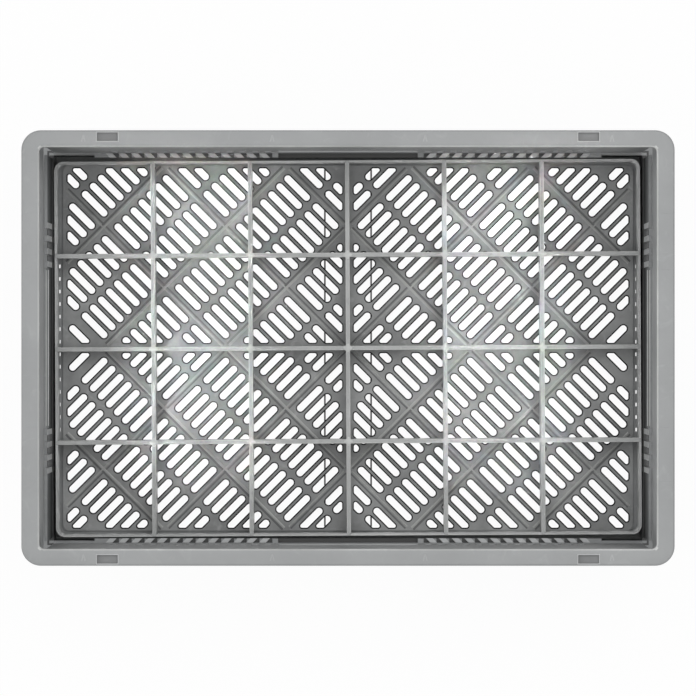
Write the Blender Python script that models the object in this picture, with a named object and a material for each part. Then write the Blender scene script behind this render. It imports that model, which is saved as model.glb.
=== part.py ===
"""Collapsible storage crate with a loose divider set, in metres, +Z up, standing on z = 0."""

import math

import bmesh
import bpy
from mathutils import Vector
from mathutils.geometry import delaunay_2d_cdt

# Driving sizes in millimetres.
RIM_LENGTH = 600.0
RIM_WIDTH = 400.0
CRATE_HEIGHT = 210.0
RIM_FLANGE_END = 16.5
RIM_FLANGE_SIDE = 15.6
RIM_THICKNESS = 4.0
RIM_CORNER_RADIUS = 18.0
RIM_INNER_RADIUS = 4.6
APRON_DEPTH = 36.0
RIB_THICKNESS = 2.5
WALL = 2.5
POCKET_LENGTH = 19.0
POCKET_WIDTH = 7.6
POCKET_DEPTH = 2.4
POCKET_X = 221.0
PANEL_THICKNESS = 7.0
FLAP_THICKNESS = 3.0
SLIDE_GAP = 0.5
REST_GAP = 0.3
END_KNUCKLE_RADIUS = 2.0
MIDDLE_KNUCKLE_RADIUS = 3.0
ROD_RADIUS = 1.2
END_ROD_RADIUS = 0.9
EAR_WIDTH = 14.0
EAR_PITCH = 200.0
END_EAR_WIDTH = 12.0
SLAT_PITCH = 12.1
SLAT_GAP = 6.7
SLAT_COUNT = 13
SLAT_START = 75.0
SLAT_SILL = 10.0
SLAT_HEIGHT = 31.0
OPENING_HALF = 66.0
RAIL_COMB_DEPTH = 6.5
RAIL_COMB_HALF = 240.0
COMB_START = 84.0
COMB_COUNT = 3
HANDHOLD_HALF = 74.5
HANDHOLD_DEPTH = 28.0
FLOOR_BOTTOM = 6.0
FLOOR_THICKNESS = 3.0
FLOOR_MARGIN_END = 6.8
FLOOR_MARGIN_SIDE = 8.1
LEDGE_THICKNESS = 3.0
FLOOR_LAP = 1.7
FOOT_THICKNESS = 3.0
FOOT_REACH = 13.5
FOOT_HALF = 195.0
FOOT_RADIUS = 12.0
DRAIN_COUNT = 14
DRAIN_PITCH = 12.0
DRAIN_WIDTH = 2.2
DRAIN_LENGTH = 3.4
CROSS_RIB_X = 22.1
CROSS_RIB_THICKNESS = 1.6
SLOT_CELL = 82.2
SLOT_PITCH = 10.86
SLOT_COLUMNS = 7
SLOT_ROW_OFFSET = 19.1
SLOT_LENGTH = 31.8
SLOT_WIDTH = 6.2
SLOT_EDGE = 2.7
SLOT_MIDDLE = 6.5
SLOT_LEAST_AREA = 105.0
INSERT_HEIGHT = 41.7
INSERT_TURN_DEGREES = 0.3
HOOP_THICKNESS = 2.4
HOOP_RADIUS = 9.0
STRIP_THICKNESS = 4.0
STRIP_GAP = 0.3
LONG_STRIPS = 3
CROSS_STRIPS = 5

# Sizes that follow from them.
SKIRT_X = RIM_LENGTH / 2 - RIM_FLANGE_END
FLAP_OUT = SKIRT_X - SLIDE_GAP
FLAP_IN = FLAP_OUT - FLAP_THICKNESS
END_AXIS_X = FLAP_OUT - END_KNUCKLE_RADIUS
TRAY_IN_X = FLAP_OUT - 2 * END_KNUCKLE_RADIUS
PANEL_HALF = TRAY_IN_X - 0.7
RIM_IN_Y = RIM_WIDTH / 2 - RIM_FLANGE_SIDE
PANEL_IN = RIM_IN_Y + 0.5
PANEL_OUT = PANEL_IN + PANEL_THICKNESS
AXIS_Y = PANEL_IN + PANEL_THICKNESS / 2
FOLD_OFFSET = PANEL_THICKNESS / 2 + REST_GAP
MIDDLE_AXIS_Y = AXIS_Y + FOLD_OFFSET
TRAY_IN_Y = RIM_IN_Y - 1.9
FLAP_HALF = RIM_IN_Y - RIM_INNER_RADIUS
FLOOR_TOP = FLOOR_BOTTOM + FLOOR_THICKNESS
INSERT_BOTTOM = FLOOR_TOP + REST_GAP
INSERT_TOP = INSERT_BOTTOM + INSERT_HEIGHT
INSERT_X = TRAY_IN_X - 1.3
INSERT_Y = TRAY_IN_Y - 4.5
END_AXIS_Z = INSERT_TOP + 0.8 + END_AXIS_X - FLAP_IN
END_WALL_TOP = END_AXIS_Z - END_KNUCKLE_RADIUS - SLIDE_GAP
LOW_AXIS_Z = END_AXIS_Z + END_KNUCKLE_RADIUS + 0.9 + PANEL_THICKNESS / 2
RAIL_TOP = LOW_AXIS_Z - PANEL_THICKNESS / 2 - SLIDE_GAP
TOP_AXIS_Z = CRATE_HEIGHT - RIM_THICKNESS - 8.0
PANEL_SPAN = (TOP_AXIS_Z - LOW_AXIS_Z) / 2
MIDDLE_AXIS_Z = LOW_AXIS_Z + PANEL_SPAN
FRAME_DROP = 2 * PANEL_SPAN - 2 * FOLD_OFFSET
SKIRT_BOTTOM = FRAME_DROP + FOOT_THICKNESS + REST_GAP
FLAP_TOP = SKIRT_BOTTOM + 2.5
EAR_RADIUS = PANEL_THICKNESS / 2 - 0.2
BORE_RADIUS = ROD_RADIUS + 0.35
END_BORE_RADIUS = END_ROD_RADIUS + 0.3
EARS = [i * EAR_PITCH for i in range(-1, 2)]
BETWEEN = [(i + 0.5) * EAR_PITCH for i in range(-1, 1)]
END_EARS = [-140.0, 140.0]

GREY = (0.36, 0.37, 0.375, 1.0)
PALE = (0.42, 0.43, 0.435, 1.0)
STEEL = (0.55, 0.56, 0.57, 1.0)


def clear_scene():
    for item in list(bpy.data.objects):
        bpy.data.objects.remove(item, do_unlink=True)


def place(a, b, c, axis):
    if axis == "x":
        return c, a, b
    if axis == "y":
        return a, c, b
    return a, b, c


def arc(cx, cy, radius, start, stop, steps):
    points = []
    for i in range(steps + 1):
        angle = math.radians(start + (stop - start) * i / steps)
        points.append((cx + radius * math.cos(angle), cy + radius * math.sin(angle)))
    return points


def ring(cx, cy, radius, sides):
    return arc(cx, cy, radius, 180 / sides, 180 / sides + 360, sides)[:-1]


def rectangle(x0, x1, y0, y1):
    return [(x0, y0), (x1, y0), (x1, y1), (x0, y1)]


def rounded(half_x, half_y, radius, steps):
    points = []
    for turn, (sx, sy) in enumerate([(1, 1), (-1, 1), (-1, -1), (1, -1)]):
        cx = sx * (half_x - radius)
        cy = sy * (half_y - radius)
        points += arc(cx, cy, radius, 90 * turn, 90 * turn + 90, steps)
    return points


def prism_into(bm, outline, holes, low, high, axis):
    """Add an outline with holes, drawn out along an axis, as one closed shell."""
    points = []
    loops = []
    for loop in [outline] + holes:
        loops.append(list(range(len(points), len(points) + len(loop))))
        points += [Vector(p) for p in loop]
    found = delaunay_2d_cdt(points, [], loops, 1, 1e-5)
    flat, faces, owners = found[0], found[2], found[5]
    kept = [f for f, own in zip(faces, owners) if list(own) == [0]]
    used = sorted({i for f in kept for i in f})
    bottom = {i: bm.verts.new(place(flat[i].x, flat[i].y, low, axis)) for i in used}
    top = {i: bm.verts.new(place(flat[i].x, flat[i].y, high, axis)) for i in used}
    count = {}
    for face in kept:
        bm.faces.new([top[i] for i in face])
        bm.faces.new([bottom[i] for i in reversed(face)])
        for a, b in zip(face, list(face[1:]) + [face[0]]):
            key = (min(a, b), max(a, b))
            count.setdefault(key, []).append((a, b))
    for sides in count.values():
        if len(sides) == 1:
            a, b = sides[0]
            bm.faces.new([bottom[a], bottom[b], top[b], top[a]])


def solid(name, parts):
    """One object from a list of (outline, holes, low, high, axis)."""
    bm = bmesh.new()
    for part in parts:
        prism_into(bm, *part)
    bmesh.ops.recalc_face_normals(bm, faces=bm.faces)
    mesh = bpy.data.meshes.new(name)
    bm.to_mesh(mesh)
    bm.free()
    made = bpy.data.objects.new(name, mesh)
    bpy.context.scene.collection.objects.link(made)
    return made


def combine(target, parts, operation):
    """Join or cut shells that stand apart from one another."""
    tool = solid(target.name + "_tool", parts)
    tool.hide_render = True
    tool.display_type = "WIRE"
    step = target.modifiers.new("step", "BOOLEAN")
    step.operation = operation
    step.solver = "EXACT"
    step.object = tool
    graph = bpy.context.evaluated_depsgraph_get()
    mesh = bpy.data.meshes.new_from_object(target.evaluated_get(graph))
    old = target.data
    target.modifiers.clear()
    target.data = mesh
    bpy.data.meshes.remove(old)
    bpy.data.objects.remove(tool, do_unlink=True)


def finish(made, colour, roughness, metallic, origin):
    """Weld, scale to metres, move the origin to the joint and give the piece its material."""
    bm = bmesh.new()
    bm.from_mesh(made.data)
    bmesh.ops.remove_doubles(bm, verts=bm.verts, dist=0.002)
    bmesh.ops.dissolve_limit(bm, angle_limit=0.002, verts=bm.verts, edges=bm.edges)
    bmesh.ops.triangulate(bm, faces=bm.faces)
    bmesh.ops.translate(bm, verts=bm.verts, vec=-Vector(origin))
    bmesh.ops.scale(bm, verts=bm.verts, vec=Vector((0.001, 0.001, 0.001)))
    bmesh.ops.recalc_face_normals(bm, faces=bm.faces)
    bm.to_mesh(made.data)
    bm.free()
    made.location = Vector(origin) * 0.001
    paint = bpy.data.materials.new(made.name + "_paint")
    paint.use_nodes = True
    shader = paint.node_tree.nodes["Principled BSDF"]
    shader.inputs["Base Color"].default_value = colour
    shader.inputs["Roughness"].default_value = roughness
    shader.inputs["Metallic"].default_value = metallic
    made.data.materials.clear()
    made.data.materials.append(paint)


def clip(polygon, keep):
    """Keep the part of a convex polygon where keep(point) is not negative."""
    out = []
    for i, here in enumerate(polygon):
        last = polygon[i - 1]
        a = keep(last)
        b = keep(here)
        if (a >= 0) != (b >= 0):
            share = a / (a - b)
            out.append((last[0] + share * (here[0] - last[0]), last[1] + share * (here[1] - last[1])))
        if b >= 0:
            out.append(here)
    return out


def area(polygon):
    total = 0.0
    for i, here in enumerate(polygon):
        last = polygon[i - 1]
        total += last[0] * here[1] - here[0] * last[1]
    return abs(total) / 2


def floor_slots(half_x, half_y):
    """Slots at 45 degrees in square cells, pointing to the middle and mirrored over both axes."""
    root = math.sqrt(0.5)
    quarter = []
    reach = int((half_x + half_y) * root / SLOT_CELL) + 1
    for row in range(reach):
        for column in range(-reach, reach):
            for side in (-1, 1):
                along = (row + 0.5) * SLOT_CELL + side * SLOT_ROW_OFFSET
                for place_in in range(SLOT_COLUMNS):
                    step = place_in - (SLOT_COLUMNS - 1) / 2
                    across = (column + 0.5) * SLOT_CELL + step * SLOT_PITCH
                    slot = []
                    for a, b in ((-1, -1), (1, -1), (1, 1), (-1, 1)):
                        s = along + a * SLOT_LENGTH / 2
                        t = across + b * SLOT_WIDTH / 2
                        slot.append(((s + t) * root, (s - t) * root))
                    slot = clip(slot, lambda p: p[0] - SLOT_MIDDLE)
                    slot = clip(slot, lambda p: p[1] - SLOT_MIDDLE) if slot else slot
                    slot = clip(slot, lambda p: half_x - p[0]) if slot else slot
                    slot = clip(slot, lambda p: half_y - p[1]) if slot else slot
                    if len(slot) > 2 and area(slot) >= SLOT_LEAST_AREA:
                        quarter.append(slot)
    slots = []
    for sx in (-1, 1):
        for sy in (-1, 1):
            for slot in quarter:
                points = [(sx * x, sy * y) for x, y in slot]
                slots.append(points if sx * sy < 0 else points[::-1])
    return slots


def make_floor():
    half_x = TRAY_IN_X - FLOOR_MARGIN_END
    half_y = TRAY_IN_Y - FLOOR_MARGIN_SIDE
    slots = floor_slots(half_x - SLOT_EDGE, half_y - SLOT_EDGE)
    panel = solid("floor_panel", [(rounded(half_x, half_y, 6.0, 3), slots, FLOOR_BOTTOM, FLOOR_TOP, "z")])
    finish(panel, GREY, 0.45, 0.0, (0.0, 0.0, FLOOR_BOTTOM))


def ear(axis_a, axis_b, radius, root_b, low, high, axis):
    """A hinge ear: half round about its axis, straight to its root."""
    turn = 0 if root_b < axis_b else 180
    points = arc(axis_a, axis_b, radius, turn, turn + 180, 4)
    end = axis_a - radius if root_b < axis_b else axis_a + radius
    points += [(end, root_b), (2 * axis_a - end, root_b)]
    return points, [], low, high, axis


def slat_gaps():
    """Middles of the gaps between slats, on both sides of the middle opening."""
    places = []
    for i in range(SLAT_COUNT):
        places += [SLAT_START + i * SLAT_PITCH, -SLAT_START - i * SLAT_PITCH]
    return places


def rail_lips():
    """The lip along the top of each long tray wall that the comb is cut into."""
    lips = []
    for side in (-1, 1):
        a = side * (FLAP_HALF + SLIDE_GAP)
        b = side * (TRAY_IN_Y + 0.8)
        box = rectangle(-RAIL_COMB_HALF, RAIL_COMB_HALF, min(a, b), max(a, b))
        lips.append((box, [], RAIL_TOP - RAIL_COMB_DEPTH - WALL, RAIL_TOP, "z"))
    return lips


def rail_notches():
    """The comb's gaps, in line with the gaps between the wall's slats."""
    cuts = []
    for side in (-1, 1):
        near_y = side * (FLAP_HALF - 1)
        far_y = side * (TRAY_IN_Y + 1.9)
        low = RAIL_TOP - RAIL_COMB_DEPTH
        cuts += boxes_x(slat_gaps(), SLAT_GAP, near_y, far_y, low, RAIL_TOP + 1)
        cuts += boxes_x([0.0], 2 * OPENING_HALF, near_y, far_y, low, RAIL_TOP + 1)
    return cuts


def feet():
    """The flat foot at each end, on which the lowered top frame lands."""
    made = []
    outer_x = FLAP_OUT + FOOT_REACH
    inner_x = TRAY_IN_X - 0.5
    corner_x = outer_x - FOOT_RADIUS
    corner_y = FOOT_HALF - FOOT_RADIUS
    for side in (-1, 1):
        low = arc(corner_x, -corner_y, FOOT_RADIUS, 270, 360, 4)
        high = arc(corner_x, corner_y, FOOT_RADIUS, 0, 90, 4)
        points = low + high + [(inner_x, FOOT_HALF), (inner_x, -FOOT_HALF)]
        if side < 0:
            points = [(-x, y) for x, y in points[::-1]]
        made.append((points, [], 0.0, FOOT_THICKNESS, "z"))
    return made


def make_base():
    wall_in = TRAY_IN_X
    wall_out = FLAP_OUT
    rail_in = TRAY_IN_Y
    ledge_top = FLOOR_BOTTOM - REST_GAP
    ledge_bottom = ledge_top - LEDGE_THICKNESS
    outer = rectangle(-wall_out, wall_out, -rail_in - WALL, rail_in + WALL)
    inner = rectangle(-wall_in, wall_in, -rail_in, rail_in)
    base = solid("base_frame", [(outer, [inner], 0.0, END_WALL_TOP, "z")])
    drains = []
    hole_x = wall_in - 3.2
    for side in (-1, 1):
        for i in range(DRAIN_COUNT):
            y = (i - (DRAIN_COUNT - 1) / 2) * DRAIN_PITCH
            x = side * hole_x
            w = DRAIN_WIDTH / 2
            h = DRAIN_LENGTH / 2
            drains.append(rectangle(x - w, x + w, y - h, y + h))
    window_x = wall_in - FLOOR_MARGIN_END - FLOOR_LAP
    window_y = rail_in - FLOOR_MARGIN_SIDE - FLOOR_LAP
    window = rectangle(-window_x, window_x, -window_y, window_y)
    ledge = rectangle(-wall_in - 1, wall_in + 1, -rail_in - 1, rail_in + 1)
    combine(base, [(ledge, [window] + drains, ledge_bottom, ledge_top, "z")], "UNION")
    ribs = []
    for side in (-1, 1):
        x = side * CROSS_RIB_X
        half = CROSS_RIB_THICKNESS / 2
        reach = window_y + 2
        ribs.append((rectangle(x - half, x + half, -reach, reach), [], 1.0, ledge_top - 0.5, "z"))
    combine(base, ribs, "UNION")
    rails = []
    for side in (-1, 1):
        a = side * (rail_in + 0.4)
        b = side * (PANEL_OUT + 0.6)
        low_y = min(a, b)
        high_y = max(a, b)
        rails.append((rectangle(-PANEL_HALF, PANEL_HALF, low_y, high_y), [], END_WALL_TOP - 3, RAIL_TOP, "z"))
    combine(base, rails, "UNION")
    combine(base, rail_lips(), "UNION")
    combine(base, rail_notches(), "DIFFERENCE")
    combine(base, feet(), "UNION")
    webs = []
    for side in (-1, 1):
        for x in EARS:
            a = side * (rail_in + 1.2)
            b = side * (PANEL_OUT - 0.6)
            box = rectangle(x - 1.5, x + 1.5, min(a, b), max(a, b))
            webs.append((box, [], 1.0, END_WALL_TOP - 1, "z"))
    combine(base, webs, "UNION")
    ears = []
    for side in (-1, 1):
        for x in EARS:
            low = x - EAR_WIDTH / 2
            high = x + EAR_WIDTH / 2
            ears.append(ear(side * AXIS_Y, LOW_AXIS_Z, EAR_RADIUS, RAIL_TOP - 1.5, low, high, "x"))
        for y in END_EARS:
            low = y - END_EAR_WIDTH / 2
            high = y + END_EAR_WIDTH / 2
            radius = END_KNUCKLE_RADIUS - 0.2
            ears.append(ear(side * END_AXIS_X, END_AXIS_Z, radius, END_WALL_TOP - 1.5, low, high, "y"))
    combine(base, ears, "UNION")
    bores = []
    for side in (-1, 1):
        side_bore = ring(side * AXIS_Y, LOW_AXIS_Z, BORE_RADIUS, 6)
        end_bore = ring(side * END_AXIS_X, END_AXIS_Z, END_BORE_RADIUS, 6)
        bores.append((side_bore, [], -PANEL_HALF - 2, PANEL_HALF + 2, "x"))
        bores.append((end_bore, [], -FLAP_HALF, FLAP_HALF, "y"))
    combine(base, bores, "DIFFERENCE")
    finish(base, GREY, 0.45, 0.0, (0.0, 0.0, 0.0))


def panel_profile(side, axis_z, far_z):
    """The long wall's section: round about its outer hinge axis, straight to the middle seam."""
    turn = 180 if far_z > axis_z else 0
    points = arc(side * AXIS_Y, axis_z, PANEL_THICKNESS / 2, turn, turn + 180, 4)
    last = points[-1][0]
    return points + [(last, far_z), (2 * side * AXIS_Y - last, far_z)]


def boxes_x(centres, width, y0, y1, z0, z1):
    made = []
    for x in centres:
        made.append((rectangle(min(y0, y1), max(y0, y1), z0, z1), [], x - width / 2, x + width / 2, "x"))
    return made


def make_panel(name, side, upper):
    if upper:
        axis_z = TOP_AXIS_Z
        far_z = MIDDLE_AXIS_Z + 0.4
        ear_low = axis_z - PANEL_THICKNESS / 2 - SLIDE_GAP
        ear_high = axis_z + PANEL_THICKNESS
        own = BETWEEN
        other = EARS
        notch_low = MIDDLE_AXIS_Z - 2
        notch_high = MIDDLE_AXIS_Z + MIDDLE_KNUCKLE_RADIUS + SLIDE_GAP
    else:
        axis_z = LOW_AXIS_Z
        far_z = MIDDLE_AXIS_Z - 0.4
        ear_low = axis_z - PANEL_THICKNESS
        ear_high = axis_z + PANEL_THICKNESS / 2 + SLIDE_GAP
        own = EARS
        other = BETWEEN
        notch_low = MIDDLE_AXIS_Z - MIDDLE_KNUCKLE_RADIUS - SLIDE_GAP
        notch_high = MIDDLE_AXIS_Z + 2
    middle_y = side * MIDDLE_AXIS_Y
    bore = ring(side * AXIS_Y, axis_z, BORE_RADIUS, 6)
    panel = solid(name, [(panel_profile(side, axis_z, far_z), [bore], -PANEL_HALF, PANEL_HALF, "x")])
    near_y = side * (PANEL_IN - 2)
    past_y = side * (PANEL_OUT + 6)
    cuts = boxes_x(EARS, EAR_WIDTH + 2 * REST_GAP, near_y, past_y, ear_low, ear_high)
    cuts += boxes_x(other, EAR_WIDTH + 2 * REST_GAP, near_y, past_y, notch_low, notch_high)
    if not upper:
        low = LOW_AXIS_Z + SLAT_SILL
        high = low + SLAT_HEIGHT
        cuts += boxes_x(slat_gaps(), SLAT_GAP, near_y, past_y, low, high)
        cuts += boxes_x([0.0], 2 * OPENING_HALF, near_y, past_y, low, high)
    combine(panel, cuts, "DIFFERENCE")
    knuckles = []
    for x in own:
        low = x - EAR_WIDTH / 2
        high = x + EAR_WIDTH / 2
        knuckles.append((ring(middle_y, MIDDLE_AXIS_Z, MIDDLE_KNUCKLE_RADIUS, 8), [], low, high, "x"))
    combine(panel, knuckles, "UNION")
    reach = PANEL_HALF + 2
    combine(panel, [(ring(middle_y, MIDDLE_AXIS_Z, BORE_RADIUS, 6), [], -reach, reach, "x")], "DIFFERENCE")
    origin = (0.0, middle_y, MIDDLE_AXIS_Z) if upper else (0.0, side * AXIS_Y, LOW_AXIS_Z)
    finish(panel, GREY, 0.45, 0.0, origin)


def make_flap(name, side):
    x0 = side * END_AXIS_X
    points = arc(x0, END_AXIS_Z, END_KNUCKLE_RADIUS, 180, 360, 4)
    outer_x = side * FLAP_OUT
    inner_x = side * FLAP_IN
    bead_x = side * TRAY_IN_X
    inside = [(inner_x, FLAP_TOP), (inner_x, END_AXIS_Z + 4), (bead_x, END_AXIS_Z + 2)]
    rest = [(outer_x, FLAP_TOP)] + inside
    points += rest if side > 0 else rest[::-1]
    bore = ring(x0, END_AXIS_Z, END_BORE_RADIUS, 6)
    flap = solid(name, [(points, [bore], -FLAP_HALF, FLAP_HALF, "y")])
    near_x = min(inner_x, outer_x) - 3
    past_x = max(inner_x, outer_x) + 3
    cuts = []
    ear_high = END_AXIS_Z + END_KNUCKLE_RADIUS + SLIDE_GAP
    for y in END_EARS:
        half = END_EAR_WIDTH / 2 + REST_GAP
        cuts.append((rectangle(near_x, past_x, END_AXIS_Z - 5, ear_high), [], y - half, y + half, "y"))
    for i in range(COMB_COUNT):
        for way in (-1, 1):
            y = way * (COMB_START + i * SLAT_PITCH)
            low = END_AXIS_Z + 9
            gap = rectangle(near_x, past_x, low, FLAP_TOP + 3)
            cuts.append((gap, [], y - SLAT_GAP / 2, y + SLAT_GAP / 2, "y"))
    sill = FLAP_TOP - HANDHOLD_DEPTH
    cuts.append((rectangle(near_x, past_x, sill, FLAP_TOP + 3), [], -HANDHOLD_HALF, HANDHOLD_HALF, "y"))
    combine(flap, cuts, "DIFFERENCE")
    finish(flap, GREY, 0.45, 0.0, (x0, 0.0, END_AXIS_Z))


def make_frame():
    half_x = RIM_LENGTH / 2
    half_y = RIM_WIDTH / 2
    top = CRATE_HEIGHT
    under = top - RIM_THICKNESS
    outline = rounded(half_x, half_y, RIM_CORNER_RADIUS, 4)
    opening = rounded(SKIRT_X, RIM_IN_Y, RIM_INNER_RADIUS, 3)
    frame = solid("top_frame", [(outline, [opening], under, top, "z")])
    apron_out = rounded(half_x - 0.4, half_y - 0.4, RIM_CORNER_RADIUS - 0.4, 4)
    radius = RIM_CORNER_RADIUS - 0.4 - WALL
    apron_in = rounded(half_x - 0.4 - WALL, half_y - 0.4 - WALL, radius, 4)
    combine(frame, [(apron_out, [apron_in], under - APRON_DEPTH, under + 1, "z")], "UNION")
    skirts = []
    for side in (-1, 1):
        a = side * (SKIRT_X + 0.2)
        b = side * (SKIRT_X + 0.2 + WALL)
        reach = half_y - 1.4
        skirts.append((rectangle(min(a, b), max(a, b), -reach, reach), [], SKIRT_BOTTOM, under + 1, "z"))
    combine(frame, skirts, "UNION")
    lips = []
    for side in (-1, 1):
        a = side * (SKIRT_X + 1.2)
        b = side * (SKIRT_X + 10.0)
        reach = half_y - RIM_CORNER_RADIUS
        grip = rectangle(min(a, b), max(a, b), -reach, reach)
        lips.append((grip, [], SKIRT_BOTTOM + 0.4, SKIRT_BOTTOM + 3.4, "z"))
        c = side * (RIM_IN_Y + 0.2)
        d = side * (RIM_IN_Y + 2.2)
        low = TOP_AXIS_Z + PANEL_THICKNESS / 2 + SLIDE_GAP
        reach = SKIRT_X - RIM_INNER_RADIUS
        lips.append((rectangle(-reach, reach, min(c, d), max(c, d)), [], low, under + 1, "z"))
    combine(frame, lips, "UNION")
    ribs = []
    for side in (-1, 1):
        for y in (-150.0, -90.0, 90.0, 150.0):
            a = side * (SKIRT_X + 1.4)
            b = side * (half_x - 1.6)
            rib = rectangle(min(a, b), max(a, b), y - RIB_THICKNESS / 2, y + RIB_THICKNESS / 2)
            ribs.append((rib, [], under - APRON_DEPTH + 2, under + 2, "z"))
    combine(frame, ribs, "UNION")
    ears = []
    for side in (-1, 1):
        for x in EARS:
            low = x - EAR_WIDTH / 2
            high = x + EAR_WIDTH / 2
            ears.append(ear(side * AXIS_Y, TOP_AXIS_Z, EAR_RADIUS, under + 1.5, low, high, "x"))
    combine(frame, ears, "UNION")
    cuts = []
    for side in (-1, 1):
        cuts.append((ring(side * AXIS_Y, TOP_AXIS_Z, BORE_RADIUS, 6), [], -PANEL_HALF, PANEL_HALF, "x"))
        for way in (-1, 1):
            x = way * POCKET_X
            y = side * (half_y - RIM_FLANGE_SIDE / 2 + 1.8)
            w = POCKET_LENGTH / 2
            h = POCKET_WIDTH / 2
            cuts.append((rectangle(x - w, x + w, y - h, y + h), [], top - POCKET_DEPTH, top + 2, "z"))
    combine(frame, cuts, "DIFFERENCE")
    finish(frame, PALE, 0.4, 0.0, (0.0, -AXIS_Y, TOP_AXIS_Z))


def make_rod(name, a, b, radius, reach, axis, origin):
    rod = solid(name, [(ring(a, b, radius, 8), [], -reach, reach, axis)])
    finish(rod, STEEL, 0.3, 1.0, origin)


def make_rods():
    for side, word in ((-1, "front"), (1, "back")):
        y = side * AXIS_Y
        middle = side * MIDDLE_AXIS_Y
        reach = PANEL_HALF - 6
        make_rod(word + "_bottom_rod", y, LOW_AXIS_Z, ROD_RADIUS, reach, "x", (0.0, y, LOW_AXIS_Z))
        seam = (0.0, middle, MIDDLE_AXIS_Z)
        make_rod(word + "_middle_rod", middle, MIDDLE_AXIS_Z, ROD_RADIUS, reach, "x", seam)
        make_rod(word + "_top_rod", y, TOP_AXIS_Z, ROD_RADIUS, reach, "x", (0.0, y, TOP_AXIS_Z))
    for side, word in ((-1, "left"), (1, "right")):
        x = side * END_AXIS_X
        reach = FLAP_HALF - 6
        make_rod(word + "_end_rod", x, END_AXIS_Z, END_ROD_RADIUS, reach, "y", (x, 0.0, END_AXIS_Z))


def turned(made):
    turn = math.radians(INSERT_TURN_DEGREES)
    for vertex in made.data.vertices:
        x, y, z = vertex.co
        vertex.co = (x * math.cos(turn) - y * math.sin(turn), x * math.sin(turn) + y * math.cos(turn), z)


def hoop_side(facing):
    """One side of the hoop, with half of each round corner, facing 0, 90, 180 or 270 degrees."""
    flip = facing % 180 == 90
    length = INSERT_X if flip else INSERT_Y
    depth = INSERT_Y if flip else INSERT_X
    inner_radius = HOOP_RADIUS - HOOP_THICKNESS
    seam = math.degrees(STRIP_GAP / 2 / inner_radius)
    points = []
    for radius, way in ((HOOP_RADIUS, 1), (inner_radius, -1)):
        low = arc(depth - HOOP_RADIUS, HOOP_RADIUS - length, radius, seam - 45, 0, 2)
        high = arc(depth - HOOP_RADIUS, length - HOOP_RADIUS, radius, 0, 45 - seam, 2)
        points += (low + high)[::way]
    turn = math.radians(facing)
    c = round(math.cos(turn))
    s = round(math.sin(turn))
    return [(c * x - s * y, s * x + c * y) for x, y in points]


def make_insert():
    half = STRIP_THICKNESS / 2
    middle = (INSERT_BOTTOM + INSERT_TOP) / 2
    pitch_x = 2 * (INSERT_X - HOOP_THICKNESS / 2) / (CROSS_STRIPS + 1)
    pitch_y = 2 * (INSERT_Y - HOOP_THICKNESS / 2) / (LONG_STRIPS + 1)
    xs = [(i - (CROSS_STRIPS - 1) / 2) * pitch_x for i in range(CROSS_STRIPS)]
    ys = [(i - (LONG_STRIPS - 1) / 2) * pitch_y for i in range(LONG_STRIPS)]
    inner_x = INSERT_X - HOOP_THICKNESS
    inner_y = INSERT_Y - HOOP_THICKNESS
    wide = half + STRIP_GAP
    for number, name in enumerate(("right", "back", "left", "front")):
        outline = hoop_side(90 * number)
        side = solid(name + "_hoop_side", [(outline, [], INSERT_BOTTOM, INSERT_TOP, "z")])
        cuts = []
        for y in ys if number % 2 == 0 else []:
            x = inner_x if number == 0 else -inner_x
            notch = rectangle(x - 2 * HOOP_THICKNESS, x + 2 * HOOP_THICKNESS, y - wide, y + wide)
            cuts.append((notch, [], middle - STRIP_GAP, INSERT_TOP + 1, "z"))
        for x in xs if number % 2 else []:
            y = inner_y if number == 1 else -inner_y
            notch = rectangle(x - wide, x + wide, y - 2 * HOOP_THICKNESS, y + 2 * HOOP_THICKNESS)
            cuts.append((notch, [], middle - STRIP_GAP, INSERT_TOP + 1, "z"))
        combine(side, cuts, "DIFFERENCE")
        turned(side)
        finish(side, PALE, 0.35, 0.0, (0.0, 0.0, INSERT_BOTTOM))
    for number, y in enumerate(ys):
        outline = strip_outline(inner_x - STRIP_GAP, INSERT_X, xs, middle, wide, False)
        strip = solid("long_strip_" + str(number + 1), [(outline, [], y - half, y + half, "y")])
        turned(strip)
        finish(strip, PALE, 0.35, 0.0, (0.0, 0.0, INSERT_BOTTOM))
    for number, x in enumerate(xs):
        outline = strip_outline(inner_y - STRIP_GAP, INSERT_Y, ys, middle, wide, True)
        strip = solid("cross_strip_" + str(number + 1), [(outline, [], x - half, x + half, "x")])
        turned(strip)
        finish(strip, PALE, 0.35, 0.0, (0.0, 0.0, INSERT_BOTTOM))


def strip_outline(reach, tab, places, middle, wide, from_below):
    """A strip with half-lap notches and a tab at each end that sits in the hoop."""
    gap = STRIP_GAP / 2
    bottom = [(-reach, INSERT_BOTTOM)]
    top = [(tab, INSERT_TOP)]
    for at in places:
        if from_below:
            bottom += [(at - wide, INSERT_BOTTOM), (at - wide, middle + gap)]
            bottom += [(at + wide, middle + gap), (at + wide, INSERT_BOTTOM)]
    for at in places[::-1]:
        if not from_below:
            top += [(at + wide, INSERT_TOP), (at + wide, middle - gap)]
            top += [(at - wide, middle - gap), (at - wide, INSERT_TOP)]
    right = [(reach, INSERT_BOTTOM), (reach, middle), (tab, middle)]
    left = [(-tab, INSERT_TOP), (-tab, middle), (-reach, middle)]
    return bottom + right + top + left


clear_scene()
make_base()
make_floor()
make_panel("front_lower_panel", -1, False)
make_panel("front_upper_panel", -1, True)
make_panel("back_lower_panel", 1, False)
make_panel("back_upper_panel", 1, True)
make_frame()
make_flap("left_end_flap", -1)
make_flap("right_end_flap", 1)
make_rods()
make_insert()
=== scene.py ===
import math

import bmesh
import bpy
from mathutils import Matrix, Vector
from mathutils.geometry import delaunay_2d_cdt


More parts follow.
